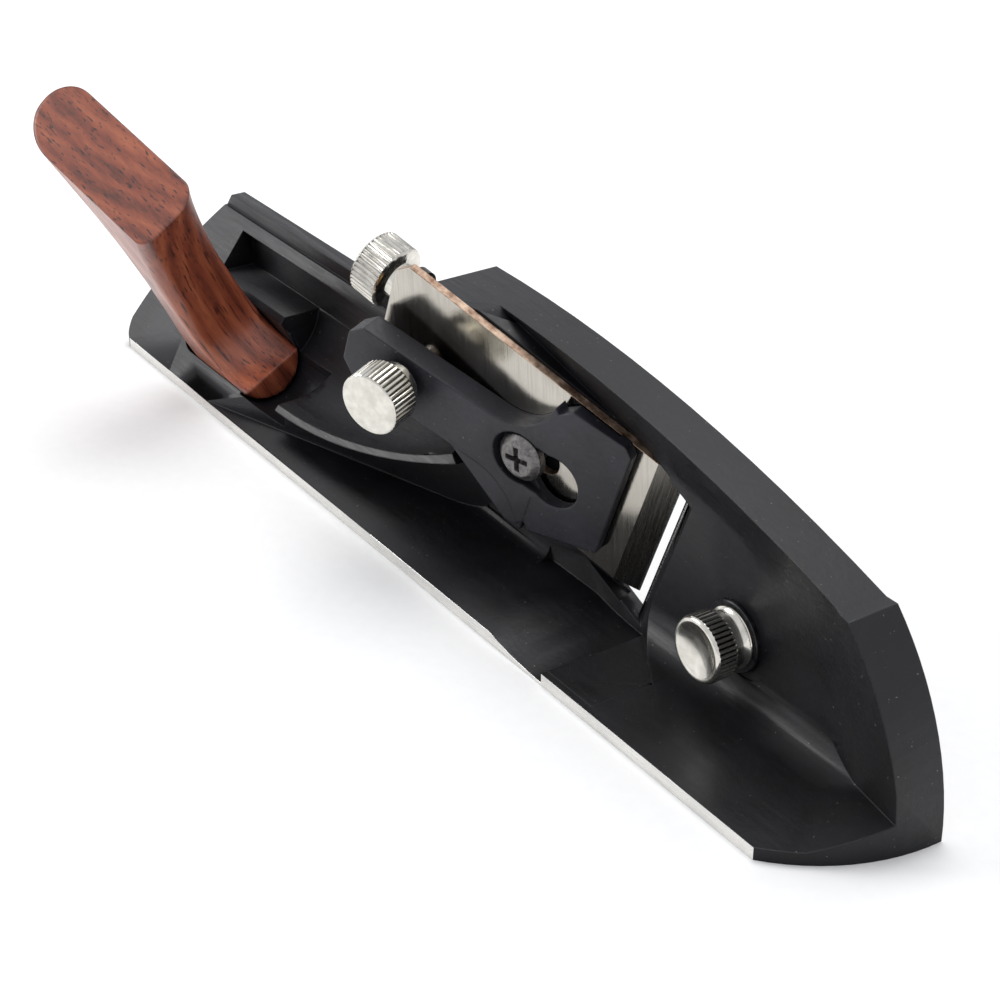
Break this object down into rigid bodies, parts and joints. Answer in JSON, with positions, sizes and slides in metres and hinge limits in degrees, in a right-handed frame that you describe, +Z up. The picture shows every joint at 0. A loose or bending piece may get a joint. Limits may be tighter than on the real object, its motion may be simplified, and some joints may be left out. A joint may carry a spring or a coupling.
{
  "type": "shooting plane",
  "caption": "Skewed low-angle shooting plane lying on its side, with an L-shaped casting, lever cap, screw-adjusted blade, sliding toe plate and leaning wooden handle.",
  "frame": {"origin": "middle of the casting's riding face, halfway along its length and halfway across its width", "axes": "+X from the heel to the nose, +Y out of the sole, +Z up from the bench the plane lies on"},
  "size_m": [0.1404, 0.0307, 0.0413],
  "materials": {
    "enamel": "satin black stove enamel over cast iron",
    "ground_steel": "ground",
    "blade_steel": "ground, with a polished bevel",
    "stud_steel": "bright drawn",
    "dark_steel": "darkened",
    "nickel": "satin nickel plate",
    "brass": "turned",
    "rosewood": "oiled, semi-gloss"
  },
  "bodies": {
    "body": {"body": "enamel", "handle": "rosewood", "handle_inserts": "brass", "handle_screws": "stud_steel", "adjuster_bushing": "enamel"},
    "toe": {"toe_plate": "ground_steel", "toe_lock_stud": "stud_steel", "toe_lock_washer": "enamel"},
    "toe_knob": {"toe_lock_knob": "nickel"},
    "adjuster": {"adjuster_knob": "nickel", "adjuster_grub_screw": "dark_steel", "adjuster_spindle": "stud_steel", "adjuster_ring": "dark_steel"},
    "blade": {"blade": "blade_steel", "adjuster_nut": "brass", "adjuster_pin": "stud_steel"},
    "cap": {"lever_cap": "enamel"},
    "cap_knob": {"lever_cap_knob": "nickel", "lever_cap_stud": "stud_steel"},
    "cap_screw": {"lever_cap_screw": "dark_steel"}
  },
  "joints": [
    {"name": "toe_slide", "type": "slide", "parent": "body", "child": "toe", "axis": [1, 0, 0], "range_m": [-0.0005, 0.0016]},
    {"name": "toe_knob_turn", "type": "hinge", "parent": "toe", "child": "toe_knob", "pos_m": [0.04295, 0.00392, 0.0081], "axis": [0, -1, 0], "range_deg": [-540, 0]},
    {"name": "depth_turn", "type": "hinge", "parent": "body", "child": "adjuster", "pos_m": [-0.01023, 0.00157, 0.02709], "axis": [0.8913, 0.2756, -0.3601], "range_deg": [-955, 395]},
    {"name": "blade_feed", "type": "slide", "parent": "body", "child": "blade", "axis": [0.8913, 0.2756, -0.3601], "range_m": [-0.00119, 0.00049]},
    {"name": "cap_slide", "type": "slide", "parent": "body", "child": "cap", "axis": [0.8913, 0.2756, -0.3601], "range_m": [-0.0044, 0]},
    {"name": "cap_knob_turn", "type": "hinge", "parent": "cap", "child": "cap_knob", "pos_m": [0.00169, -0.00869, 0.02163], "axis": [0.3473, -0.9272, -0.1403], "range_deg": [-720, 0]},
    {"name": "cap_screw_turn", "type": "hinge", "parent": "body", "child": "cap_screw", "pos_m": [0.01395, 0.00034, 0.01667], "axis": [0.2556, -0.9613, -0.1033], "range_deg": [-360, 90]}
  ],
  "couplings": [
    {"joint": "depth_turn", "follows": "blade_feed", "rad_per_m": 13963}
  ]
}
